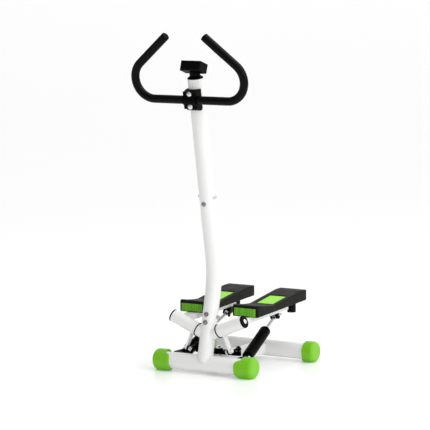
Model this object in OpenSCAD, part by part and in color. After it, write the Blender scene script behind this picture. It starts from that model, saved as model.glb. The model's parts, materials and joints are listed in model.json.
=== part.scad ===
// Twist stepper with a handlebar post: floor frame, two tilting pedals on inclined pivots,
// hydraulic cylinders, a balance rocker, a bent post, a clamped handlebar and a small display.
// +X is the right pedal's side, +Y is towards the heels of the pedals, +Z is up.
// Millimetres; the origin is on the floor under the middle of the bounding box.

/* [Floor frame] */
// Outside diameter of both floor tubes
floor_tube_d = 60; // [50:1:64]
// Height of the floor tubes' axes above the floor
floor_tube_z = 37; // [36:0.5:40]
// Distance between the axes of the front and rear floor tubes
tube_spacing = 410; // [380:1:440]
// Half of the front tube's length, over its end caps
front_half = 204.5; // [195:0.5:240]
// Half of the rear tube's length, over its end caps
rear_half = 228; // [205:1:260]
// Wall of every welded tube
wall = 2.5; // [1.5:0.5:3]
// Width of the centre beam
beam_w = 60; // [50:1:70]
// Height of the centre beam
beam_h = 36; // [30:1:40]

/* [Foot caps] */
// Outside diameter of a foot cap's barrel
cap_d = 77; // [76:1:82]
// Length of a front cap's full ring
front_cap_len = 46.5; // [44:0.5:60]
// Length of a rear cap's full ring
rear_cap_len = 43.5; // [40:0.5:60]
// Extra length of the cap's half skirt
skirt_len = 23; // [10:1:30]
// Thickness of the cap's closed end
cap_end = 15; // [10:1:20]
// Rounding where the barrel meets the end disc
cap_round = 13; // [8:1:14]

/* [Post] */
// Outside diameter of the post
post_d = 56; // [50:1:58]
// Rearward lean of the lower straight, in degrees
lean_back = 13.55; // [12:0.05:14]
// Forward lean of the upper straight, in degrees
lean_fwd = 10.74; // [9:0.02:12]
// Bend radius of the post's axis
bend_r = 380; // [340:5:400]
// Height where the two straights' axes would cross
bend_z = 344; // [340:1:360]
// Height of the lower joint's seam
low_seam_z = 241; // [236:1:246]
// Distance along the upper straight to the upper joint's seam
up_seam = 247; // [235:1:260]
// Distance along the upper straight to the post's top
post_top = 642; // [620:1:660]

/* [Handlebar] */
// Diameter of the bare bar
bar_d = 22; // [20:1:24]
// Diameter over the foam grip
grip_d = 30; // [28:1:32]
// Distance from the post's axis to the bar's axis
bar_off = 42; // [41:0.5:46]
// Distance along the upper straight to the bar
bar_up = 574; // [560:1:585]
// Half length of the bar's straight bottom
bar_half = 148; // [130:1:160]
// Bend radius of the bar
bar_r = 72; // [60:1:80]
// Angle through which each end of the bar turns
bar_turn = 139.8; // [130:0.2:145]
// Length of the straight part of each grip
grip_len = 151; // [120:1:170]

/* [Pedals] */
// Inclination of the pivot axes, in degrees
pivot_tilt = 22.5; // [20:0.5:24]
// Height where the two pivot axes would cross
pivot_z = 135.8; // [134:0.2:138]
// Distance of the pivot axes behind the front floor tube
pivot_y = 21; // [20:0.5:22]
// Outside diameter of the pivot sleeves
sleeve_d = 46; // [44:1:48]
// Near end of a sleeve, along its axis
sleeve_in = 48; // [46:0.5:55]
// Far end of a sleeve, along its axis
sleeve_out = 155; // [150:1:158]
// Width of a pedal
pedal_w = 106; // [100:1:112]
// Distance of a pedal's middle from the plane of symmetry
pedal_x = 110; // [108:1:114]
// Front face of a pedal, behind the front floor tube
pedal_y = 89; // [86:1:92]
// Length of a pedal
pedal_len = 370; // [360:1:380]

/* [Cylinders] */
// Diameter of the cylinder body
cyl_d = 40; // [38:1:44]
// Diameter of the piston rod
rod_d = 13; // [12:0.5:14]
// Length of rod left showing between the eye's centre and the body at rest
rod_show = 90; // [80:1:94]

/* [Hidden] */
$fn = 64;

// Fits
snug = 0.05;      // clearance between two pieces of one body
grip_fit = 0.1;   // clearance of the foam on the bar
run_fit = 0.06;   // radial clearance of a turning pin
past = 1;         // how far a cutter runs past what it cuts
bend_lap = 0.5;   // how far a straight tube runs into the bend beside it
bend_step = 0.02; // how much thinner a bend is than its straights, so the two join cleanly

// Colours
white_paint = "white";
lime = [0.47, 0.78, 0.16];
light_lime = [0.6, 0.93, 0.34];
charcoal = [0.22, 0.22, 0.2];
black = [0.09, 0.09, 0.09];
steel = [0.8, 0.8, 0.82];

// Floor frame
tube_r = floor_tube_d / 2;
cap_r = cap_d / 2;
foot_w = 46;
foot_h = 26;
beam_z = floor_tube_z - beam_h / 2;

// Post: the lower straight starts on the front tube, at post_z
post_r = post_d / 2;
post_z = 67.5;
bend_angle = lean_back + lean_fwd;
bend_tangent = bend_r * tan(bend_angle / 2);
corner_y = (bend_z - post_z) * tan(lean_back);
arc_start = [corner_y - bend_tangent * sin(lean_back), bend_z - bend_tangent * cos(lean_back)];
arc_end = [corner_y - bend_tangent * sin(lean_fwd), bend_z + bend_tangent * cos(lean_fwd)];
arc_centre = [arc_start.x - bend_r * cos(lean_back), arc_start.y + bend_r * sin(lean_back)];
low_seam = (low_seam_z - post_z) / cos(lean_back);
low_straight = (arc_start.y - post_z) / cos(lean_back);
spigot_r = post_r - wall - 0.1;
spigot_low = 100;     // lower end of the lower spigot, along the lower straight
spigot_up = 170;      // lower end of the upper spigot, along the upper straight
low_screws = [114, 143];
low_cross = 139;
up_screw = 192;
up_cross = 212;
screw_r = 3;
cross_r = 4;

// Handlebar, in the upper straight's own frame
bar_rad = bar_d / 2;
grip_rad = grip_d / 2;
clamp_half = 26;
clamp_rise = 35;      // top of the saddle above the bar
clamp_drop = 41;      // bottom of the saddle below the bar
saddle_back = -9;     // how far back the saddle reaches round the post
cover_rise = 31;
bar_end = [bar_half + bar_r * sin(bar_turn), bar_r * (1 - cos(bar_turn))];
tip_up = bar_up + bar_end.y + grip_len * sin(bar_turn);

// Front and rear limits of the whole object, from the front tube's axis: the grips' ends
// and whichever reaches further back of the rear caps and the pedals
grip_rise = sin(bar_turn) * sin(lean_fwd);
plug_t = 4;
tip_y = arc_end.x - bar_off * cos(lean_fwd) - tip_up * sin(lean_fwd);
front_limit = tip_y - (grip_rad - plug_t) * sqrt(1 - grip_rise * grip_rise) - plug_t;
rear_limit = max(tube_spacing + cap_r, pedal_y + pedal_len);
front_y = -(front_limit + rear_limit) / 2;

// Pedal mechanism; the pivot frame's x runs along the right pedal's axis
sleeve_r = sleeve_d / 2;
shaft_r = 10;
bush_wall = 3;
flange = 2.5;         // how far a bush's flange stands out of its sleeve
lever_x = 64;         // middle of the lever arm's plate, along the axis
lever_h = 80.5;       // lever eye below the axis
plate = 6;
tie_x = lever_x - plate - 0.6;
tie_len = 68;
tie_pin = [tie_x * cos(pivot_tilt) + lever_h * sin(pivot_tilt),
           pivot_y + tie_len,
           pivot_z + tie_x * sin(pivot_tilt) - lever_h * cos(pivot_tilt)];
link_pin_r = 4;
link_slack = 1.5;     // room at the rocker's pins
rocker_top = tie_pin.z - 7.5;
rocker_t = 16;

// Pedal outline, from the front floor tube
pedal_slope = 2.8;
sole_front = 201;
sole_rear = 220.5;
toe_top = 242.5;
dip_y = 215;
dip_z = 231;
heel_y = 405;
heel_z = 258.5;
pedal_end = pedal_y + pedal_len;
skin = 4;
deck = 8;
tread_in = 75;
tread_out = 145;
tread_front = 228;
tread_rear = 334;
tread_sink = 3;       // how far the tread insert lies below the pedal's deck
arm_w = 40;
arm_h = 22;
arm_z = 175.4;        // underside of the pedal arm at the pivot plane
arm_end = 352;
bumper_r = 16;

// Cylinder ends: lower pin on the frame, upper pin under the pedal
low_pin = [126, 66, 53];
top_pin = [100, 326, 170.5];
cyl_r = cyl_d / 2;
rod_r = rod_d / 2;
low_pin_r = 5;
top_pin_r = 4;
top_slack = 2.3;      // room at the rod's upper eye
eye_half = 6;
lug_half = 7;
cyl_vector = top_pin - low_pin;
cyl_len = norm(cyl_vector);
lug_rise = atan2(cyl_vector.z * cos(pivot_tilt) - cyl_vector.x * sin(pivot_tilt), cyl_vector.y);
cyl_start = 20;
cyl_top = cyl_len - rod_show;
piston_at = 152;
piston_t = 14;

// Display, in its own tilted frame
display_tilt = 17;
display_y = -102;
display_z = 1118.5;
display_w = 80;
display_l = 60;
display_t = 35;

// ---------- helpers ----------

// Everything is drawn from the front floor tube's axis, then moved to the part's origin
module placed() translate([0, front_y, 0]) children();

// The right side as drawn, or its mirror image for the left
module on_side(side) placed() mirror([side < 0 ? 1 : 0, 0, 0]) children();

// A bar of radius r along X
module x_bar(r, x0, x1) translate([x0, 0, 0]) rotate([0, 90, 0]) cylinder(r = r, h = x1 - x0);

// A bar of radius r along Y
module y_bar(r, y0, y1) translate([0, y0, 0]) rotate([-90, 0, 0]) cylinder(r = r, h = y1 - y0);

// A flat outline drawn in Y and Z, made x0 to x1 wide
module side_plate(x0, x1) translate([x0, 0, 0]) rotate([90, 0, 90]) linear_extrude(x1 - x0) children();

// Frame of the inclined pivot, x along the axis
module pivot_frame() translate([0, pivot_y, pivot_z]) rotate([0, -pivot_tilt, 0]) children();

// Frame at a pin parallel to the pivot
module pin_frame(p) translate(p) rotate([0, -pivot_tilt, 0]) children();

// Frame whose z runs from the cylinder's lower pin to its upper pin
module cylinder_frame()
    translate(low_pin)
        rotate([0, acos(cyl_vector.z / cyl_len), atan2(cyl_vector.y, cyl_vector.x)])
            children();

// Frames of the post's two straights, z along the post
module low_frame() translate([0, 0, post_z]) rotate([-lean_back, 0, 0]) children();
module up_frame() translate([0, arc_end.x, arc_end.y]) rotate([lean_fwd, 0, 0]) children();

// Frame of the display, z out of its face
module display_frame() translate([0, display_y, display_z]) rotate([-display_tilt, 0, 0]) children();

// Rounded rectangle centred on the origin
module round_rect(w, h, r) {
    square([w - 2 * r, h], center = true);
    square([w, h - 2 * r], center = true);
    for (x = [-1, 1], y = [-1, 1]) translate([x * (w / 2 - r), y * (h / 2 - r)]) circle(r);
}

// Solid of a floor tube, for the tube itself and to cope what is welded to it
module floor_rod(y, half, r) translate([0, y, floor_tube_z]) x_bar(r, -half, half);

// ---------- floor frame ----------

module floor_tube(y, half) {
    color(white_paint) placed() difference() {
        floor_rod(y, half - cap_end, tube_r);
        floor_rod(y, half, tube_r - wall);
    }
}

module centre_beam() {
    color(white_paint) placed() difference() {
        translate([-beam_w / 2, 0, beam_z]) cube([beam_w, tube_spacing, beam_h]);
        translate([wall - beam_w / 2, 0, beam_z + wall])
            cube([beam_w - 2 * wall, tube_spacing, beam_h - 2 * wall]);
        floor_rod(0, beam_w, tube_r);
        floor_rod(tube_spacing, beam_w, tube_r);
    }
}

// Closed barrel on the end of a floor tube, with a half skirt and a foot cut flat at the floor
module foot_cap(side, y, half, ring, skirt_side) {
    ring_x = half - ring;
    color(lime) on_side(side) translate([0, y, floor_tube_z]) difference() {
        union() {
            cap_barrel(half, ring);
            intersection() {
                x_bar(cap_r, ring_x - skirt_len, ring_x + past);
                skirt_outline(ring_x, skirt_side);
            }
            translate([ring_x, -foot_w / 2, -floor_tube_z])
                cube([ring - cap_round, foot_w, foot_h]);
        }
        x_bar(tube_r + snug, 0, half - cap_end + snug);
        translate([0, -cap_r, -floor_tube_z - cap_r]) cube([half + past, cap_d, cap_r]);
    }
}

module cap_barrel(half, ring) {
    translate([half - ring, 0, 0]) rotate([0, 90, 0]) rotate_extrude() {
        square([cap_r, ring - cap_round]);
        square([cap_r - cap_round, ring]);
        translate([cap_r - cap_round, ring - cap_round]) intersection() {
            circle(cap_round);
            square(cap_round);
        }
    }
}

// The skirt covers one side of the tube, from just under its top to its foot
module skirt_outline(ring_x, skirt_side) {
    corner = 16;
    top = 27;
    translate([ring_x + corner, skirt_side > 0 ? cap_r + past : -snug, (top - cap_r) / 2])
        rotate([90, 0, 0]) linear_extrude(cap_r + past)
            round_rect(2 * (skirt_len + corner), cap_r + top, corner);
}

// Lower stub of the post, with a boss each side that the pedal sleeves run against
module post_stub() {
    boss_end = sleeve_in - bush_wall - 0.2;
    color(white_paint) placed() difference() {
        union() {
            low_frame() translate([0, 0, -post_r]) cylinder(r = post_r, h = low_seam + post_r);
            for (side = [-1, 1]) mirror([side < 0 ? 1 : 0, 0, 0]) pivot_frame() x_bar(sleeve_r, 0, boss_end);
        }
        low_frame() {
            translate([0, 0, -post_r - past]) cylinder(r = post_r - wall, h = low_seam + post_r + 2 * past);
            low_joint_holes();
        }
        floor_rod(0, post_d, tube_r);
        translate([-beam_w / 2, 0, beam_z]) cube([beam_w, post_d, beam_h]);
        for (side = [-1, 1]) mirror([side < 0 ? 1 : 0, 0, 0]) pivot_frame() x_bar(shaft_r, 0, sleeve_in);
    }
}

// Solid steel shafts, welded into the stub, that carry the pedal sleeves
module pivot_shafts() {
    color(steel) for (side = [-1, 1]) on_side(side) pivot_frame() difference() {
        x_bar(shaft_r, 18, sleeve_out);
        x_bar(4, sleeve_out - 25, sleeve_out + past);
    }
}

module shaft_end_caps() {
    color(black) for (side = [-1, 1]) on_side(side) pivot_frame()
        translate([sleeve_out + 0.5, 0, 0]) rotate([0, 90, 0]) difference() {
            rotate_extrude() {
                square([sleeve_r, 3]);
                square([sleeve_r - 3, 6]);
                translate([sleeve_r - 3, 3]) intersection() {
                    circle(3);
                    square(3);
                }
            }
            translate([0, 0, -past]) cylinder(r = 4 + snug, h = 10);
        }
}

// Domed bolts in the ends of the shafts
module shaft_end_bolts() {
    color(steel) for (side = [-1, 1]) on_side(side) pivot_frame() translate([sleeve_out + 6.5, 0, 0]) {
        x_bar(4 - snug, -28, 1);
        rotate([0, 90, 0]) intersection() {
            translate([0, 0, -5]) sphere(11);
            cylinder(r = 9, h = 8);
        }
    }
}

// Two-eared brackets behind the front floor tube, one for each cylinder
module cylinder_brackets() {
    ear = 5;
    reach = low_pin.y - 4;
    color(black) for (side = [-1, 1]) on_side(side) difference() {
        pin_frame(low_pin) {
            for (x = [lug_half + 1.5, -lug_half - 1.5 - ear]) difference() {
                side_plate(x, x + ear) {
                    circle(13);
                    translate([-reach, -13]) square([reach, 26]);
                }
                x_bar(low_pin_r + snug, x - past, x + ear + past);
            }
            translate([-lug_half - 2, -reach, -13]) cube([2 * lug_half + 4, reach - 26, 26]);
        }
        floor_rod(0, front_half, tube_r);
    }
}

module cylinder_pins() {
    color(steel) for (side = [-1, 1]) on_side(side) pin_frame(low_pin) {
        x_bar(low_pin_r, -15, 15);
        x_bar(8, 14, 18);
        x_bar(8, -18, -14);
    }
}

// Vertical shoulder bolt on the centre beam, the rocker's pivot
module rocker_bolt() {
    color(steel) placed() translate([0, pivot_y + tie_len, 0]) {
        translate([0, 0, beam_z + beam_h]) cylinder(r = 12, h = rocker_top - rocker_t - beam_z - beam_h - 0.5);
        translate([0, 0, beam_z + beam_h]) cylinder(r = 7, h = rocker_top - beam_z - beam_h + 8);
        translate([0, 0, rocker_top + 4.6]) cylinder(r = 12, h = 2);
        translate([0, 0, rocker_top + 6]) cylinder(r = 10, h = 7, $fn = 6);
    }
}

// ---------- post ----------

// Holes of the lower joint: two screws at the front and one bolt across
module low_joint_holes() {
    for (z = low_screws) translate([0, 0, z]) y_bar(screw_r + snug, -post_r - past, 0);
    translate([0, 0, low_cross]) x_bar(cross_r + snug, -post_r - past, post_r + past);
}

module up_joint_holes() {
    translate([0, 0, up_screw]) y_bar(screw_r + snug, -post_r - past, 0);
    translate([0, 0, up_cross]) x_bar(cross_r + snug, -post_r - past, post_r + past);
}

// Bent stretch of the lower post: straight, arc, straight
module bent_rod(r) {
    low_frame() translate([0, 0, low_seam]) cylinder(r = r, h = low_straight - low_seam + bend_lap);
    translate([0, arc_centre.x, arc_centre.y]) rotate([90, 0, 90]) rotate([0, 0, -lean_back])
        rotate_extrude(angle = bend_angle) translate([bend_r, 0]) circle(r - bend_step);
    up_frame() translate([0, 0, -bend_lap]) cylinder(r = r, h = up_seam + bend_lap);
}

// Reduced end that plugs into the tube below; its root is welded inside the tube
module spigot(z0, seam) {
    translate([0, 0, z0]) cylinder(r = spigot_r, h = seam - z0 + past);
    translate([0, 0, seam]) cylinder(r = post_r - wall / 2, h = 5);
}

module handle_post_lower() {
    color(white_paint) placed() difference() {
        union() {
            difference() {
                bent_rod(post_r);
                bent_rod(post_r - wall);
                up_frame() translate([0, 0, up_seam - past]) cylinder(r = post_r - wall, h = 2 * past);
            }
            low_frame() spigot(spigot_low, low_seam);
        }
        low_frame() translate([0, 0, spigot_low - past])
            cylinder(r = spigot_r - wall, h = low_seam - spigot_low + 10);
        low_frame() low_joint_holes();
        up_frame() up_joint_holes();
    }
}

module handle_post_upper() {
    color(white_paint) placed() up_frame() difference() {
        union() {
            difference() {
                translate([0, 0, up_seam]) cylinder(r = post_r, h = post_top - up_seam);
                translate([0, 0, up_seam - past]) cylinder(r = post_r - wall, h = post_top);
            }
            spigot(spigot_up, up_seam);
        }
        translate([0, 0, spigot_up - past]) cylinder(r = spigot_r - wall, h = up_seam - spigot_up + 10);
        up_joint_holes();
        for (z = [-22, 22]) translate([0, 0, bar_up + z]) y_bar(screw_r + snug, -post_r - past, 0);
    }
}

// Screw with a saddle washer on the front of the post
module front_screw() {
    difference() {
        y_bar(8.5, -post_r - 2.5, -post_r + 4);
        cylinder(r = post_r + snug, h = 30, center = true);
        y_bar(screw_r + snug, -post_r - 4, 0);
    }
    y_bar(screw_r, -post_r - 3, -post_r + 12);
    translate([0, -post_r - 2.6, 0]) rotate([90, 0, 0]) difference() {
        intersection() {
            cylinder(r = 6, h = 4);
            translate([0, 0, -4]) sphere(8);
        }
        translate([0, 0, 1.6]) cylinder(r = 2.9, h = 4, $fn = 6);
    }
}

module post_screws() {
    color(steel) placed() {
        low_frame() for (z = low_screws) translate([0, 0, z]) front_screw();
        up_frame() translate([0, 0, up_screw]) front_screw();
    }
}

// Bolt right across the post, with a plain head at the left and a nut at the right
module cross_bolt() {
    x_bar(cross_r, -post_r - 3, post_r + 8);
    x_bar(6.5, -post_r - 5, -post_r - 0.2);
    x_bar(7.5, post_r + 0.2, post_r + 2);
    translate([post_r + 2, 0, 0]) rotate([0, 90, 0]) cylinder(r = 7, h = 5.5, $fn = 6);
}

module post_cross_bolts() {
    color(steel) placed() {
        low_frame() translate([0, 0, low_cross]) cross_bolt();
        up_frame() translate([0, 0, up_cross]) cross_bolt();
    }
}

// ---------- handlebar clamp ----------

// Block between the bar and the post, hollowed to sit on the post's front
module clamp_saddle() {
    color(black) placed() up_frame() translate([0, 0, bar_up]) difference() {
        side_plate(-clamp_half, clamp_half) polygon([
            [-bar_off, -cover_rise], [-post_r, -clamp_drop], [saddle_back - 7, -clamp_drop],
            [saddle_back, 8 - clamp_drop], [saddle_back, clamp_rise - 2],
            [saddle_back - 2, clamp_rise], [-post_r, clamp_rise], [-bar_off, cover_rise]
        ]);
        translate([0, 0, -clamp_drop - past]) cylinder(r = post_r + snug, h = 2 * clamp_drop);
        translate([0, -bar_off, 0]) x_bar(bar_rad + run_fit, -50, 50);
        for (z = [-22, 22]) translate([0, 0, z]) y_bar(screw_r + snug, -bar_off - past, 0);
    }
}

// Front half of the clamp, rounded over the bar
module clamp_cover() {
    color(black) placed() up_frame() translate([0, 0, bar_up]) difference() {
        union() {
            translate([-clamp_half, -bar_off - 9, -cover_rise])
                cube([2 * clamp_half, 8.4, 2 * cover_rise]);
            intersection() {
                translate([0, -bar_off, 0]) x_bar(19, -clamp_half, clamp_half);
                translate([-50, -bar_off - 50, -50]) cube([100, 49.4, 100]);
            }
        }
        translate([0, -bar_off, 0]) x_bar(bar_rad + run_fit, -50, 50);
        for (z = [-22, 22]) translate([0, 0, z]) y_bar(screw_r + snug, -bar_off - 30, 0);
        for (z = [-22, 22]) translate([0, 0, z]) y_bar(9.8, -bar_off - 30, -bar_off - 9);
    }
}

module clamp_screws() {
    color(steel) placed() up_frame() for (z = [-22, 22]) translate([0, -bar_off - 9, bar_up + z]) {
        y_bar(screw_r, -1, 24);
        rotate([90, 0, 0]) intersection() {
            cylinder(r = 9.5, h = 8);
            translate([0, 0, -8]) sphere(14);
        }
    }
}

// ---------- handlebar ----------

// Frame of one end of the bar, z along its grip straight
module bar_tip_frame()
    translate([bar_half, -bar_off, bar_up + bar_r]) rotate([90, 0, 0]) rotate([0, 0, bar_turn - 90])
        translate([bar_r, 0, 0]) rotate([-90, 0, 0])
            children();

// One end of the bar with radius r: its bend and its grip straight
module bar_hook(r, tip) {
    translate([bar_half, -bar_off, bar_up + bar_r]) rotate([90, 0, 0]) rotate([0, 0, -90])
        rotate_extrude(angle = bar_turn) translate([bar_r, 0]) circle(r - bend_step);
    bar_tip_frame() translate([0, 0, -bend_lap]) cylinder(r = r, h = tip + bend_lap);
}

module whole_bar(r, tip) {
    translate([0, -bar_off, bar_up]) x_bar(r, -bar_half - bend_lap, bar_half + bend_lap);
    bar_hook(r, tip);
    mirror([1, 0, 0]) bar_hook(r, tip);
}

module handlebar_tube() {
    color(black) placed() up_frame() difference() {
        whole_bar(bar_rad, grip_len);
        whole_bar(bar_rad - 1.5, grip_len + past);
    }
}

// Foam over everything outside the clamp
module grip(side) {
    color(black) on_side(side) up_frame() difference() {
        union() {
            translate([0, -bar_off, bar_up]) x_bar(grip_rad, clamp_half + 1.5, bar_half + bend_lap);
            bar_hook(grip_rad, grip_len);
        }
        translate([0, -bar_off, bar_up]) x_bar(bar_rad + grip_fit, clamp_half, bar_half + bend_lap);
        bar_hook(bar_rad + grip_fit, grip_len + past);
    }
}

module bar_end_plugs() {
    color(charcoal) for (side = [-1, 1]) on_side(side) up_frame()
        bar_tip_frame() {
            translate([0, 0, grip_len - 14]) cylinder(r = bar_rad - 1.5 - snug, h = 14);
            translate([0, 0, grip_len]) rotate_extrude() {
                square([grip_rad - plug_t, plug_t]);
                translate([grip_rad - plug_t, 0]) intersection() {
                    circle(plug_t);
                    square(plug_t);
                }
            }
        }
}

// ---------- display ----------

// Plug in the post's top with the round neck that carries the display
module display_collar() {
    neck_r = 19;
    plug_r = post_r - wall - snug;
    color(black) placed() difference() {
        up_frame() translate([0, 0, post_top]) rotate_extrude() polygon([
            [0, -18], [plug_r, -18], [plug_r, snug], [post_r, snug], [post_r, 3],
            [post_r - 3, 5], [neck_r, 9], [neck_r, 45], [0, 45]
        ]);
        display_frame() translate([-display_w / 2, -display_l, -display_t])
            cube([display_w, 3 * display_l, 2 * display_t]);
    }
}

module display_housing() {
    color(black) placed() display_frame() difference() {
        intersection() {
            side_plate(-display_w / 2, display_w / 2) polygon([
                [0, -3], [3, 0], [display_l - 3, 0], [display_l, -3],
                [display_l - 5, 5 - display_t], [display_l - 10, -display_t],
                [5, -display_t], [0, 5 - display_t]
            ]);
            translate([0, display_l / 2, -display_t]) linear_extrude(display_t)
                round_rect(display_w, display_l, 8);
        }
        translate([0, 24, -1.5]) linear_extrude(3) round_rect(60, 34, 4);
        translate([0, 50, -6]) cylinder(r = 5.5, h = 8);
    }
}

module display_window() {
    color([0.5, 0.56, 0.5]) placed() display_frame()
        translate([0, 24, -1.45]) linear_extrude(1.4) round_rect(59.8, 33.8, 3.9);
}

module display_button() {
    color(steel) placed() display_frame() translate([0, 50, -3.5]) cylinder(r = 5.2, h = 5);
}

// ---------- pedals ----------

module pivot_sleeve(side) {
    color(white_paint) on_side(side) pivot_frame() difference() {
        x_bar(sleeve_r, sleeve_in, sleeve_out);
        x_bar(sleeve_r - 3, sleeve_in - past, sleeve_out + past);
    }
}

// Flanged bush at the near end, plain bush at the far end
module sleeve_bushes(side) {
    color(black) on_side(side) pivot_frame() difference() {
        union() {
            x_bar(sleeve_r + flange, sleeve_in - bush_wall, sleeve_in - snug);
            x_bar(sleeve_r - 3 - snug, sleeve_in - past, sleeve_in + 30);
            x_bar(sleeve_r - 3 - snug, sleeve_out - 30, sleeve_out);
        }
        x_bar(shaft_r + run_fit, 0, sleeve_out + past);
    }
}

// Place of the pedal arm, which rises with the pedal
module arm_frame() translate([pedal_x, pivot_y, arm_z]) rotate([pedal_slope, 0, 0]) children();

module pedal_arm(side) {
    color(white_paint) on_side(side) difference() {
        arm_frame() translate([-arm_w / 2, 0, 0]) cube([arm_w, arm_end, arm_h]);
        arm_frame() translate([wall - arm_w / 2, 0, wall])
            cube([arm_w - 2 * wall, arm_end + past, arm_h - 2 * wall]);
        pivot_frame() x_bar(sleeve_r, sleeve_in, sleeve_out + past);
    }
}

// Flat lever under the sleeve that works the rocker
module lever_arm(side) {
    color(white_paint) on_side(side) pivot_frame() difference() {
        union() {
            side_plate(lever_x - plate / 2, lever_x + plate / 2)
                polygon([[-12, -12], [12, -12], [9, 3 - lever_h], [0, -4 - lever_h], [-9, 3 - lever_h]]);
            translate([0, 0, -lever_h]) x_bar(9.5, lever_x - plate / 2, lever_x + plate / 2);
        }
        x_bar(sleeve_r, sleeve_in, sleeve_out);
        translate([0, 0, -lever_h]) x_bar(link_pin_r + snug, lever_x - plate, lever_x + plate);
    }
}

// Side outline of a pedal: toe block, dipped tread, raised heel
module pedal_outline() {
    polygon([
        [pedal_y, sole_front], [pedal_y + 2, toe_top - 4], [pedal_y + 7, toe_top],
        [pedal_y + 18, toe_top], [dip_y - 84, toe_top - 4], [dip_y - 35, dip_z + 2],
        [dip_y, dip_z], [heel_y, heel_z], [pedal_end - 16, heel_z + 1],
        [pedal_end - 4, heel_z - 3], [pedal_end, heel_z - 12], [pedal_end - 2, sole_rear]
    ]);
}

module pedal_hollow() {
    polygon([
        [pedal_y + skin, sole_front - past], [pedal_y + skin, toe_top - deck - skin],
        [dip_y - 84, toe_top - deck - skin], [dip_y, dip_z - deck], [heel_y, heel_z - deck],
        [pedal_end - skin - 4, heel_z - deck], [pedal_end - skin - 4, sole_rear - past]
    ]);
}

// Plan outline of a pedal, rounder at the heel
module pedal_plan() {
    toe_len = pedal_len / 2;
    heel_len = 0.8 * pedal_len;
    translate([pedal_x, pedal_y + toe_len / 2]) round_rect(pedal_w, toe_len, 8);
    translate([pedal_x, pedal_end - heel_len / 2]) round_rect(pedal_w, heel_len, 14);
}

// Slab of thickness t on the pedal's tread, between two distances and two widths
module tread_slab(x0, x1, y0, y1, low, high) {
    rise = (heel_z - dip_z) / (heel_y - dip_y);
    side_plate(x0, x1) polygon([
        [y0, dip_z + (y0 - dip_y) * rise + low], [y1, dip_z + (y1 - dip_y) * rise + low],
        [y1, dip_z + (y1 - dip_y) * rise + high], [y0, dip_z + (y0 - dip_y) * rise + high]
    ]);
}

module pedal_body(side) {
    color(charcoal) on_side(side) difference() {
        intersection() {
            side_plate(pedal_x - pedal_w / 2, pedal_x + pedal_w / 2) pedal_outline();
            linear_extrude(300) pedal_plan();
        }
        difference() {
            side_plate(pedal_x - pedal_w / 2 + skin, pedal_x + pedal_w / 2 - skin) pedal_hollow();
            for (y = [130, 215, 300, 365]) translate([0, y, arm_top(y) + 0.3]) cube([200, skin, 100]);
        }
        tread_slab(tread_in, tread_out, tread_front, tread_rear, -tread_sink - 2, 10);
        toe_panel_block(0);
        bumper_rod(bumper_r + snug, 186);
    }
}

// Height of the pedal arm's top at distance y from the front tube
function arm_top(y) = arm_z + (y + skin - pivot_y) * tan(pedal_slope) + arm_h / cos(pedal_slope);

module tread_insert(side) {
    color(light_lime) on_side(side) intersection() {
        tread_slab(tread_in + snug, tread_out - snug, tread_front + snug, tread_rear - snug,
                   -tread_sink - 1.95, -tread_sink);
        translate([(tread_in + tread_out) / 2, (tread_front + tread_rear) / 2]) linear_extrude(300)
            round_rect(tread_out - tread_in, tread_rear - tread_front, 4);
    }
}

// Block that the toe panel fills, smaller by gap all round
module toe_panel_block(gap) {
    panel_w = 86;
    panel_z = 204;
    panel_h = 28;
    panel_in = 2.5;
    translate([pedal_x - panel_w / 2 + gap, pedal_y - 2, panel_z + gap])
        cube([panel_w - 2 * gap, panel_in + 2 - gap, panel_h - 2 * gap]);
}

// Ribbed panel across the toe of a pedal
module toe_panel(side) {
    grooves = 5;
    pitch = 15.5;
    color(lime) on_side(side) difference() {
        toe_panel_block(snug);
        for (i = [0 : grooves - 1])
            translate([pedal_x + (i - (grooves - 1) / 2) * pitch, pedal_y - 2.4, 208])
                cylinder(r = 1.8, h = 20);
    }
}

module bumper_rod(r, z0) translate([118, 418, z0]) cylinder(r = r, h = 60);

// Rubber stop under the heel
module bumper(side) {
    color(black) on_side(side) difference() {
        translate([118, 418, 176]) {
            cylinder(r = bumper_r, h = 70);
            cylinder(r = bumper_r - 3, h = 71);
        }
        difference() {
            translate([50, 380, 150]) cube([120, 80, 150]);
            bumper_space();
        }
    }
}

// Room for the bumper: below the pedal's deck
module bumper_space() {
    side_plate(50, 170) polygon([
        [380, 176], [460, 176], [460, heel_z - deck - snug], [heel_y, heel_z - deck - snug],
        [380, heel_z - deck - snug - (heel_y - 380) * (heel_z - dip_z) / (heel_y - dip_y)]
    ]);
}

// Clevis under the pedal arm for the piston rod's eye
module rod_bracket(side) {
    ear = 4;
    gap = eye_half + 3.6;
    color(black) on_side(side) difference() {
        pin_frame(top_pin) difference() {
            union() {
                for (x = [gap, -gap - ear]) side_plate(x, x + ear) {
                    circle(13);
                    translate([-13, 0]) square([26, 34]);
                }
                translate([-gap - past, -13, 15]) cube([2 * gap + 2 * past, 26, 19]);
            }
            x_bar(top_pin_r + snug, -gap - ear - past, gap + ear + past);
        }
        arm_frame() translate([-100, 0, 0]) cube([200, 400, 100]);
    }
}

// Rod pin, lever bolt and the two bolts that hold the pedal to its arm
module pedal_fasteners(side) {
    color(steel) on_side(side) {
        pin_frame(top_pin) {
            x_bar(top_pin_r, -15, 29);
            x_bar(6.5, -17.5, -13.7);
            x_bar(5.5, 27, 30);
        }
        pivot_frame() translate([0, 0, -lever_h]) {
            x_bar(link_pin_r, lever_x - 16, lever_x + 8);
            x_bar(8, lever_x - 17, lever_x - 11);
            translate([lever_x + 3.2, 0, 0]) rotate([0, 90, 0]) cylinder(r = 8.5, h = 6, $fn = 6);
        }
        for (y = [95, 200]) arm_frame() translate([0, y, -4]) cylinder(r = 7, h = 4, $fn = 6);
    }
}

// ---------- cylinders ----------

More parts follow.
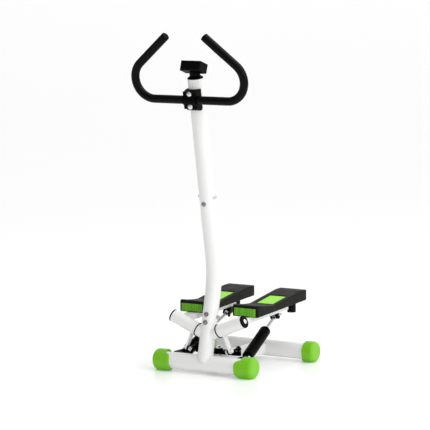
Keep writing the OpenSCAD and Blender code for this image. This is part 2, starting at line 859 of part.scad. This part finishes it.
module cylinder_body(side) {
    shoulder = 9;
    color(black) on_side(side) difference() {
        union() {
            cylinder_frame() translate([0, 0, cyl_start]) rotate_extrude() {
                square([cyl_r, cyl_top - cyl_start - shoulder]);
                square([cyl_r - shoulder, cyl_top - cyl_start]);
                translate([cyl_r - shoulder, cyl_top - cyl_start - shoulder]) intersection() {
                    circle(shoulder);
                    square(shoulder);
                }
            }
            pin_frame(low_pin) x_bar(13, -lug_half, lug_half);
            pin_frame(low_pin) rotate([lug_rise, 0, 0])
                translate([0.5 - lug_half, 0, -10]) cube([2 * lug_half - 1, cyl_start + 4, 20]);
        }
        pin_frame(low_pin) x_bar(low_pin_r + run_fit, -lug_half - past, lug_half + past);
        cylinder_frame() translate([0, 0, cyl_start + 10]) cylinder(r = cyl_r - 4, h = cyl_top - cyl_start - 25);
        cylinder_frame() cylinder_bore();
    }
}

module cylinder_bore() translate([0, 0, cyl_start + 12]) cylinder(r = rod_r + run_fit, h = cyl_len);

module piston_rod(side) {
    color(steel) on_side(side) difference() {
        union() {
            cylinder_frame() translate([0, 0, piston_at]) cylinder(r = rod_r, h = cyl_len - piston_at - 8);
            pin_frame(top_pin) x_bar(11, -eye_half, eye_half);
        }
        pin_frame(top_pin) x_bar(top_pin_r + top_slack, -eye_half - past, eye_half + past);
    }
}

module piston(side) {
    color(black) on_side(side) cylinder_frame() translate([0, 0, piston_at - piston_t]) {
        cylinder(r = cyl_r - 4 - run_fit, h = piston_t - snug);
    }
}

// ---------- rocker ----------

module rocker_bar() {
    color(black) placed() difference() {
        translate([0, pivot_y + tie_len, rocker_top - rocker_t]) {
            translate([-tie_pin.x, -10, 0]) cube([2 * tie_pin.x, 20, rocker_t]);
            cylinder(r = 17, h = rocker_t + 4);
            for (side = [-1, 1]) translate([side * tie_pin.x, 0, 0]) {
                cylinder(r = 10, h = rocker_t);
                cylinder(r = link_pin_r, h = rocker_t + 17);
                translate([0, 0, rocker_t + 14.5]) cylinder(r = 7, h = 3);
            }
        }
        translate([0, pivot_y + tie_len, 0]) cylinder(r = 7 + run_fit, h = 200);
    }
}

// Link from the lever's bolt to the rocker's pin
module tie_link(side) {
    half = 3;
    color(black) on_side(side) difference() {
        union() {
            pivot_frame() translate([0, 0, -lever_h]) {
                x_bar(9, tie_x - half, tie_x + half);
                translate([tie_x - half, 0, -4]) cube([2 * half, tie_len - 6, 8]);
            }
            translate([tie_pin.x, tie_pin.y, tie_pin.z - 4.5]) cylinder(r = 10, h = 9);
        }
        pivot_frame() translate([0, 0, -lever_h]) x_bar(link_pin_r + run_fit, tie_x - 10, tie_x + 10);
        translate([tie_pin.x, tie_pin.y, 0]) cylinder(r = link_pin_r + link_slack, h = 200);
    }
}

// ---------- the part ----------

floor_tube(0, front_half);  // front_stabiliser_tube
floor_tube(tube_spacing, rear_half);  // rear_stabiliser_tube
centre_beam();
post_stub();
foot_cap(-1, 0, front_half, front_cap_len, -1);  // foot_cap_front_left
foot_cap(1, 0, front_half, front_cap_len, -1);  // foot_cap_front_right
foot_cap(-1, tube_spacing, rear_half, rear_cap_len, 1);  // foot_cap_rear_left
foot_cap(1, tube_spacing, rear_half, rear_cap_len, 1);  // foot_cap_rear_right
pivot_shafts();
shaft_end_caps();
shaft_end_bolts();
cylinder_brackets();
cylinder_pins();
rocker_bolt();
handle_post_lower();
handle_post_upper();
post_screws();
post_cross_bolts();
clamp_saddle();
clamp_cover();
clamp_screws();
display_collar();
display_housing();
display_window();
display_button();
handlebar_tube();
grip(-1);  // grip_left
grip(1);  // grip_right
bar_end_plugs();
pivot_sleeve(-1);  // pivot_sleeve_left
pivot_sleeve(1);  // pivot_sleeve_right
sleeve_bushes(-1);  // sleeve_bushes_left
sleeve_bushes(1);  // sleeve_bushes_right
pedal_arm(-1);  // pedal_arm_left
pedal_arm(1);  // pedal_arm_right
lever_arm(-1);  // lever_arm_left
lever_arm(1);  // lever_arm_right
pedal_body(-1);  // pedal_body_left
pedal_body(1);  // pedal_body_right
tread_insert(-1);  // tread_insert_left
tread_insert(1);  // tread_insert_right
toe_panel(-1);  // toe_panel_left
toe_panel(1);  // toe_panel_right
bumper(-1);  // bumper_left
bumper(1);  // bumper_right
rod_bracket(-1);  // rod_bracket_left
rod_bracket(1);  // rod_bracket_right
pedal_fasteners(-1);  // pedal_fasteners_left
pedal_fasteners(1);  // pedal_fasteners_right
cylinder_body(-1);  // cylinder_body_left
cylinder_body(1);  // cylinder_body_right
piston_rod(-1);  // piston_rod_left
piston_rod(1);  // piston_rod_right
piston(-1);  // piston_left
piston(1);  // piston_right
rocker_bar();
tie_link(-1);  // tie_link_left
tie_link(1);  // tie_link_right
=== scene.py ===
import json
import math

import bmesh
import bpy
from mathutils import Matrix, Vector


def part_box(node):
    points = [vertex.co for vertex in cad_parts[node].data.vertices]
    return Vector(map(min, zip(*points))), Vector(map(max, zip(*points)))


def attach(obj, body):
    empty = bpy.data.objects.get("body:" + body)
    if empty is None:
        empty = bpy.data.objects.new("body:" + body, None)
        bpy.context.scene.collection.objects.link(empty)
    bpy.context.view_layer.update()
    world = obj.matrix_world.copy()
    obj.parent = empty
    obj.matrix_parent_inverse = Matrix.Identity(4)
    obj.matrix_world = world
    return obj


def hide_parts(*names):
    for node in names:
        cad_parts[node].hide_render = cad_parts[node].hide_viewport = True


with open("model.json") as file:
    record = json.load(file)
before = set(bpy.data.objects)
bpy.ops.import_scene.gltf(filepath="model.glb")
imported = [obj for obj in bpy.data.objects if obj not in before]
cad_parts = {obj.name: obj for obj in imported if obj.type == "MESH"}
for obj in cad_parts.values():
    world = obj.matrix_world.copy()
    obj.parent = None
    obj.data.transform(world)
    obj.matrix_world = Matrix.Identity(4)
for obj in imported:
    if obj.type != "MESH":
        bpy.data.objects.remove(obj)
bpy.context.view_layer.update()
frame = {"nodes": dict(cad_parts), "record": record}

NODES = frame["nodes"]
SLOT_OF = {s["node"]: s["material_slot"] for s in frame["record"]["subparts"]}

MM = 0.001
TUBE_AXIS_HEIGHT = 41   # what the heights below take the front floor tube's axis to be

lo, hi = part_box("front_stabiliser_tube")
FRONT = (lo.y + hi.y) / 2
GROUND = (lo.z + hi.z) / 2 - TUBE_AXIS_HEIGHT * MM


def P(x, y, z):
    """A point in the row frame, from millimetres: x sideways and y rearwards from the front floor
    tube's axis, z a height on the scale that gives that axis TUBE_AXIS_HEIGHT."""
    return Vector((x * MM, y * MM + FRONT, z * MM + GROUND))


# ---------------------------------------------------------------- materials

def material(name):
    m = bpy.data.materials.new(name)
    m.use_nodes = True
    tree = m.node_tree
    bsdf = tree.nodes["Principled BSDF"]
    return m, tree, bsdf


def noise_node(tree, coord, scale, detail=3.0):
    n = tree.nodes.new("ShaderNodeTexNoise")
    n.inputs["Scale"].default_value = scale
    n.inputs["Detail"].default_value = detail
    tree.links.new(coord, n.inputs["Vector"])
    return n.outputs["Fac"]


def ramp_node(tree, fac, stops):
    r = tree.nodes.new("ShaderNodeValToRGB")
    ramp = r.color_ramp
    while len(ramp.elements) < len(stops):
        ramp.elements.new(0.5)
    for e, (at, colour) in zip(ramp.elements, stops):
        e.position = at
        e.color = (*colour, 1)
    tree.links.new(fac, r.inputs["Fac"])
    return r.outputs["Color"]


NOISE_LOW, NOISE_HIGH = 0.3, 0.7   # most of a noise texture's values lie between these


def map_range(tree, fac, low, high):
    m = tree.nodes.new("ShaderNodeMapRange")
    m.inputs["From Min"].default_value = NOISE_LOW
    m.inputs["From Max"].default_value = NOISE_HIGH
    m.inputs["To Min"].default_value = low
    m.inputs["To Max"].default_value = high
    tree.links.new(fac, m.inputs["Value"])
    return m.outputs["Result"]


def bump_node(tree, height, strength, distance):
    b = tree.nodes.new("ShaderNodeBump")
    b.inputs["Strength"].default_value = strength
    b.inputs["Distance"].default_value = distance
    tree.links.new(height, b.inputs["Height"])
    return b.outputs["Normal"]


def shade(colour, k):
    return tuple(max(0.0, min(1.0, c * k)) for c in colour)


def moulded(name, colour, rough, grain=900, grain_depth=0.00006, strength=0.35, spread=0.06,
            metallic=0.0, coat=0.0, coat_rough=0.1, cloud=14, rough_spread=0.06, specular=0.5,
            stretch=(1, 1, 1)):
    """A surface with a fine grain, faintly uneven colour and uneven gloss. The unevenness can be
    stretched into streaks, which on the toe panels are painted shade of their grooves."""
    m, tree, bsdf = material(name)
    coord = tree.nodes.new("ShaderNodeTexCoord").outputs["Object"]
    mapping = tree.nodes.new("ShaderNodeMapping")
    mapping.inputs["Scale"].default_value = stretch
    tree.links.new(coord, mapping.inputs["Vector"])
    soft = noise_node(tree, mapping.outputs["Vector"], cloud, 4)
    fine = noise_node(tree, coord, grain, 2)
    base = ramp_node(tree, soft, [(NOISE_LOW, shade(colour, 1 - spread)),
                                  (NOISE_HIGH, shade(colour, 1 + spread))])
    tree.links.new(base, bsdf.inputs["Base Color"])
    tree.links.new(map_range(tree, soft, rough - rough_spread, rough + rough_spread),
                   bsdf.inputs["Roughness"])
    tree.links.new(bump_node(tree, fine, strength, grain_depth), bsdf.inputs["Normal"])
    bsdf.inputs["Metallic"].default_value = metallic
    bsdf.inputs["Coat Weight"].default_value = coat
    bsdf.inputs["Coat Roughness"].default_value = coat_rough
    bsdf.inputs["Specular IOR Level"].default_value = specular
    return m


WHITE = moulded("white_powder_coat", (0.89, 0.89, 0.88), 0.34, grain=700, grain_depth=0.00005,
                strength=0.18, spread=0.012, coat=0.2, coat_rough=0.15, cloud=6)
LIME = moulded("lime_plastic", (0.185, 0.545, 0.010), 0.4, grain=1100, spread=0.06, coat=0.08,
               coat_rough=0.3, specular=0.3)
# The toe panels' lime plastic, painted darker all over as shade on their front faces, with strong
# upright streaks painted as the shade of their grooves
SHADED_TOE_LIME = moulded("lime_panel_with_painted_shade", (0.125, 0.42, 0.008), 0.36, grain=1100, spread=0.42, coat=0.08,
              coat_rough=0.3, specular=0.3, cloud=22, stretch=(9, 0.2, 0.2))
TREAD = moulded("light_lime_tread", (0.34, 0.80, 0.075), 0.55, grain=800, grain_depth=0.00015,
                strength=0.6, spread=0.05, specular=0.3)
CHARCOAL = moulded("charcoal_plastic", (0.0075, 0.0073, 0.0055), 0.55, grain=650, grain_depth=0.00018,
                   strength=0.6, spread=0.14, cloud=30, specular=0.11)
BLACK = moulded("black_plastic", (0.0014, 0.0014, 0.0012), 0.45, grain=900, grain_depth=0.00008,
                strength=0.4, spread=0.12, specular=0.05)
BLACK_STEEL = moulded("black_painted_steel", (0.0008, 0.0008, 0.0008), 0.28, grain=600,
                      grain_depth=0.00005, strength=0.25, spread=0.1, specular=0.035)
FOAM = moulded("black_foam", (0.0012, 0.0012, 0.0010), 0.22, grain=1200, grain_depth=0.00006,
               strength=0.2, spread=0.15, cloud=60, rough_spread=0.03, specular=0.10)
STEEL = moulded("bright_steel", (0.74, 0.74, 0.76), 0.2, grain=1500, grain_depth=0.00002,
                strength=0.2, spread=0.06, metallic=1.0, cloud=40)
ZINC = moulded("zinc_screws", (0.30, 0.30, 0.31), 0.26, grain=1500, grain_depth=0.00002,
               strength=0.2, spread=0.1, metallic=1.0, cloud=60)
SCREEN = moulded("display_screen", (0.34, 0.39, 0.33), 0.25, grain=500, spread=0.08, coat=1.0,
                 coat_rough=0.03)

BY_SLOT = {
    "white_powder_coat": WHITE, "lime_plastic": LIME, "light_lime_tread": TREAD,
    "charcoal_plastic": CHARCOAL, "black_plastic": BLACK, "black_painted_steel": BLACK_STEEL,
    "black_foam": FOAM, "bright_steel": STEEL, "display_glass": SCREEN,
}

# ---------------------------------------------------------------- the CAD's own pieces

# Moulded pieces, by how their names start: voxel size in metres, and rounds of smoothing
SOFT = {"foot_cap": (0.0012, 5), "pedal_body": (0.0014, 6), "clamp_cover": (0.0006, 4),
        "clamp_saddle": (0.0008, 4), "display_collar": (0.0008, 4), "toe_panel": (0.0008, 3)}
EDGE_WIDTH, HOUSING_EDGE_WIDTH = 0.0005, 0.0012
SHARP_EDGE = math.radians(35)


def soften(node, voxel, rounds):
    """Rounds a moulded piece's corners all over."""
    remesh = node.modifiers.new("even_mesh", "REMESH")
    remesh.mode = "VOXEL"
    remesh.voxel_size = voxel
    remesh.use_smooth_shade = True
    smooth = node.modifiers.new("soft_corners", "SMOOTH")
    smooth.factor = 0.5
    smooth.iterations = rounds


def break_edges(node, width):
    """Narrow rounded edges on a machined or welded piece, with even shading on its long faces."""
    weld = node.modifiers.new("weld", "WELD")
    weld.merge_threshold = 0.00002
    bevel = node.modifiers.new("edge", "BEVEL")
    bevel.width = width
    bevel.segments = 2
    bevel.limit_method = "ANGLE"
    bevel.angle_limit = math.radians(40)
    bevel.use_clamp_overlap = True
    even = node.modifiers.new("even_shading", "WEIGHTED_NORMAL")
    even.mode = "FACE_AREA"
    even.weight = 50
    even.keep_sharp = True


for name, node in NODES.items():
    node.data.materials.clear()
    if name == "post_screws":
        node.data.materials.append(ZINC)
    # The toe panels take the darker lime with painted shade in place of their slot's lime
    elif name.startswith("toe_panel"):
        node.data.materials.append(SHADED_TOE_LIME)
    else:
        node.data.materials.append(BY_SLOT[SLOT_OF[name]])
    kind = [k for k in SOFT if name.startswith(k)]
    if kind:
        soften(node, *SOFT[kind[0]])
    else:
        for poly in node.data.polygons:
            poly.use_smooth = True
        break_edges(node, HOUSING_EDGE_WIDTH if name == "display_housing" else EDGE_WIDTH)
        node.data.set_sharp_from_angle(angle=SHARP_EDGE)

# ---------------------------------------------------------------- foam and treads


def piece(name, bm, mat, body, node):
    """A new object from a bmesh, riding on a body and standing in for a CAD node."""
    bmesh.ops.recalc_face_normals(bm, faces=bm.faces)
    mesh = bpy.data.meshes.new(name)
    bm.to_mesh(mesh)
    bm.free()
    for poly in mesh.polygons:
        poly.use_smooth = True
    o = bpy.data.objects.new(name, mesh)
    bpy.context.scene.collection.objects.link(o)
    mesh.materials.append(mat)
    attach(o, body)
    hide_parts(node)
    return o


def sweep(path, radii, sides=40):
    """A closed tube through a list of points, with a radius at each."""
    bm = bmesh.new()
    rings = []
    normal = None
    for i, (p, r) in enumerate(zip(path, radii)):
        t = (path[min(i + 1, len(path) - 1)] - path[max(i - 1, 0)]).normalized()
        if normal is None:
            normal = t.orthogonal().normalized()
        normal = (normal - t * normal.dot(t)).normalized()
        side = t.cross(normal)
        rings.append([bm.verts.new(p + (normal * math.cos(a) + side * math.sin(a)) * r)
                      for a in (2 * math.pi * k / sides for k in range(sides))])
    for a, b in zip(rings, rings[1:]):
        for k in range(sides):
            bm.faces.new((a[k], a[(k + 1) % sides], b[(k + 1) % sides], b[k]))
    bm.faces.new(rings[0])
    bm.faces.new(rings[-1])
    return bm


# The post leans back from its foot, bends, and leans forwards above the bend
LEAN_BACK, LEAN_FWD = math.radians(13.55), math.radians(10.74)
BEND_RADIUS, BEND_Z, POST_FOOT_Z = 380, 348, 71.5
TANGENT = BEND_RADIUS * math.tan((LEAN_BACK + LEAN_FWD) / 2)
BEND_END_Y = (BEND_Z - POST_FOOT_Z) * math.tan(LEAN_BACK) - TANGENT * math.sin(LEAN_FWD)
BEND_END_Z = BEND_Z + TANGENT * math.cos(LEAN_FWD)


def U(x, y, z):
    """A point in the frame of the post's upper straight, z along the post."""
    return P(x, BEND_END_Y + y * math.cos(LEAN_FWD) - z * math.sin(LEAN_FWD),
             BEND_END_Z + y * math.sin(LEAN_FWD) + z * math.cos(LEAN_FWD))


SIDES = ((-1, "left"), (1, "right"))

# The handlebar's foam: a straight from the clamp, a bend, and a straight to the tip
BAR_OFF, BAR_UP = 42, 574          # the bar in front of the post's axis, and along it
FOAM_START, BAR_HALF = 27.6, 148   # the first straight's ends
BAR_R, BAR_TURN = 72, math.radians(139.8)
GRIP_LEN, GRIP_R = 151, 15
FIRST_STEPS, BEND_STEPS, LAST_STEPS = 30, 48, 40
INNER_LIP, OUTER_LIP = 0.93, 0.95  # the foam's radius at its two ends, as a share of GRIP_R

for side, word in SIDES:
    run = []
    for i in range(FIRST_STEPS + 1):
        run.append((FOAM_START + (BAR_HALF - FOAM_START) * i / FIRST_STEPS, 0))
    for i in range(1, BEND_STEPS + 1):
        a = BAR_TURN * i / BEND_STEPS
        run.append((BAR_HALF + BAR_R * math.sin(a), BAR_R * (1 - math.cos(a))))
    x0, z0 = run[-1]
    for i in range(1, LAST_STEPS + 1):
        s = GRIP_LEN * i / LAST_STEPS
        run.append((x0 + s * math.cos(BAR_TURN), z0 + s * math.sin(BAR_TURN)))
    path = [U(side * x, -BAR_OFF, BAR_UP + z) for x, z in run]
    lips = [INNER_LIP] + [1.0] * (len(path) - 2) + [OUTER_LIP]
    radii = [GRIP_R * MM * lip for lip in lips]
    foam = piece("foam_grip_" + word, sweep(path, radii), FOAM, "handlebar", "grip_" + word)

# Tread inserts with rows of low round studs, on the slope of the pedal's deck
DIP_Y, DIP_Z, RISE = 215, 235, (258.5 - 231) / (405 - 215)
TREAD_SINK = 3                                     # the insert's face below the deck
TREAD_X, TREAD_Y = (75.4, 144.6), (228.4, 333.6)
TREAD_MID = (110, 281)
COLUMNS, ROWS = 92, 140
PROUD = 0.1                                        # the plain border above the CAD insert's face
STUD_PITCH, STUD_RADIUS, STUD_HEIGHT = 5.0, 0.34, 0.45   # the radius as a share of the pitch
STUD_SLOPE, STUD_MARGIN = 2.2, 4                   # a stud's flat top, and the plain border
EDGE_FALL, EDGE_ROUND = 0.9, 1.6                   # the rounded edge's depth and width
SKIRT = 0.9                                        # thickness left at the rounded edge

for side, word in SIDES:
    (x0, x1), (y0, y1) = TREAD_X, TREAD_Y
    bm = bmesh.new()
    top = []
    for j in range(ROWS + 1):
        row = []
        for i in range(COLUMNS + 1):
            x = x0 + (x1 - x0) * i / COLUMNS
            y = y0 + (y1 - y0) * j / ROWS
            edge = min(x - x0, x1 - x, y - y0, y1 - y)
            fall = EDGE_FALL * (1 - min(1, edge / EDGE_ROUND)) ** 2
            u = ((x - TREAD_MID[0]) / STUD_PITCH) % 1 - 0.5
            v = ((y - TREAD_MID[1]) / STUD_PITCH) % 1 - 0.5
            stud = max(0, 1 - math.hypot(u, v) / STUD_RADIUS)
            lift = STUD_HEIGHT * min(1, stud * STUD_SLOPE) if edge > STUD_MARGIN else 0
            deck = DIP_Z + (y - DIP_Y) * RISE - TREAD_SINK
            row.append(bm.verts.new(P(side * x, y, deck + PROUD + lift - fall)))
        top.append(row)
    for j in range(ROWS):
        for i in range(COLUMNS):
            bm.faces.new((top[j][i], top[j][i + 1], top[j + 1][i + 1], top[j + 1][i]))
    rim = ([top[0][i] for i in range(COLUMNS)] + [top[j][COLUMNS] for j in range(ROWS)] +
           [top[ROWS][i] for i in range(COLUMNS, 0, -1)] + [top[j][0] for j in range(ROWS, 0, -1)])
    low = [bm.verts.new(v.co - Vector((0, 0, SKIRT * MM))) for v in rim]
    for k in range(len(rim)):
        q = (k + 1) % len(rim)
        bm.faces.new((rim[k], rim[q], low[q], low[k]))
    bm.faces.new(low)
    piece("tread_" + word, bm, TREAD, word + "_pedal", "tread_insert_" + word)

# ---------------------------------------------------------------- floor, light and camera

FLOOR_HALF = 60.0

floor_mesh = bpy.data.meshes.new("floor")
bm = bmesh.new()
bm.faces.new([bm.verts.new((x * FLOOR_HALF, y * FLOOR_HALF, 0))
              for x, y in ((-1, -1), (1, -1), (1, 1), (-1, 1))])
bm.to_mesh(floor_mesh)
bm.free()
floor = bpy.data.objects.new("floor", floor_mesh)
bpy.context.scene.collection.objects.link(floor)
floor_mat, floor_tree, floor_bsdf = material("floor_finish")
floor_at = floor_tree.nodes.new("ShaderNodeTexCoord").outputs["Object"]
floor_tree.links.new(ramp_node(floor_tree, noise_node(floor_tree, floor_at, 1.5),
                               [(NOISE_LOW, (0.955, 0.955, 0.955)),
                                (NOISE_HIGH, (0.96, 0.96, 0.96))]),
                     floor_bsdf.inputs["Base Color"])
floor_bsdf.inputs["Roughness"].default_value = 0.32
floor_bsdf.inputs["Specular IOR Level"].default_value = 0.3
floor_bsdf.inputs["Emission Color"].default_value = (1, 1, 1, 1)
floor_bsdf.inputs["Emission Strength"].default_value = 0.10
floor.data.materials.append(floor_mat)

# A white surround, dimmer towards the front left, where a studio would stand a dark card
CARD_WAY = (-0.80, -0.58, 0.15)
CARD_EDGE, CARD_CORE = -0.05, 0.75   # cosines from that way, where the dimming starts and ends
OPEN_SKY, CARD_SKY = 1.08, 0.38

world = bpy.data.worlds.new("studio")
bpy.context.scene.world = world
world.use_nodes = True
wt = world.node_tree
sky = wt.nodes["Background"]
sky.inputs["Color"].default_value = (1, 1, 1, 1)
where = wt.nodes.new("ShaderNodeTexCoord")
facing = wt.nodes.new("ShaderNodeVectorMath")
facing.operation = "DOT_PRODUCT"
facing.inputs[1].default_value = CARD_WAY
wt.links.new(where.outputs["Generated"], facing.inputs[0])
dim = wt.nodes.new("ShaderNodeMapRange")
dim.interpolation_type = "SMOOTHSTEP"
dim.inputs["From Min"].default_value = CARD_EDGE
dim.inputs["From Max"].default_value = CARD_CORE
dim.inputs["To Min"].default_value = OPEN_SKY
dim.inputs["To Max"].default_value = CARD_SKY
wt.links.new(facing.outputs["Value"], dim.inputs["Value"])
wt.links.new(dim.outputs["Result"], sky.inputs["Strength"])


def area(name, at, target, size, power):
    """A white rectangular lamp at a point, facing a target, with its power in watts."""
    light = bpy.data.lights.new(name, "AREA")
    light.shape = "RECTANGLE"
    light.size, light.size_y = size
    light.energy = power
    o = bpy.data.objects.new(name, light)
    bpy.context.scene.collection.objects.link(o)
    o.location = at
    o.rotation_euler = (Vector(target) - Vector(at)).to_track_quat("-Z", "Y").to_euler()


area("key_right", (3.0, -0.6, 2.4), (0, 0, 0.5), (1.8, 1.8), 22)
area("top_soft", (0.3, 0.2, 3.6), (0, 0, 0.4), (3.0, 3.0), 6)
area("soft_back_right", (1.5, 0.4, 3.5), (0.15, -0.1, 1.1), (1.2, 1.5), 20)

AZIMUTH, PITCH = math.radians(30.7), math.radians(6.5)   # from the right of the front, looking down

cam_data = bpy.data.cameras.new("camera")
cam = bpy.data.objects.new("camera", cam_data)
bpy.context.scene.collection.objects.link(cam)
bpy.context.scene.camera = cam
cam.location = P(4307.9, -7189.1, 1527.5)
look = Vector((-math.sin(AZIMUTH) * math.cos(PITCH), math.cos(AZIMUTH) * math.cos(PITCH),
               -math.sin(PITCH)))
cam.rotation_euler = look.to_track_quat("-Z", "Y").to_euler()
cam_data.sensor_width = 36
cam_data.lens = 200.0
cam_data.clip_end = 100
bpy.context.scene.view_settings.view_transform = "Standard"
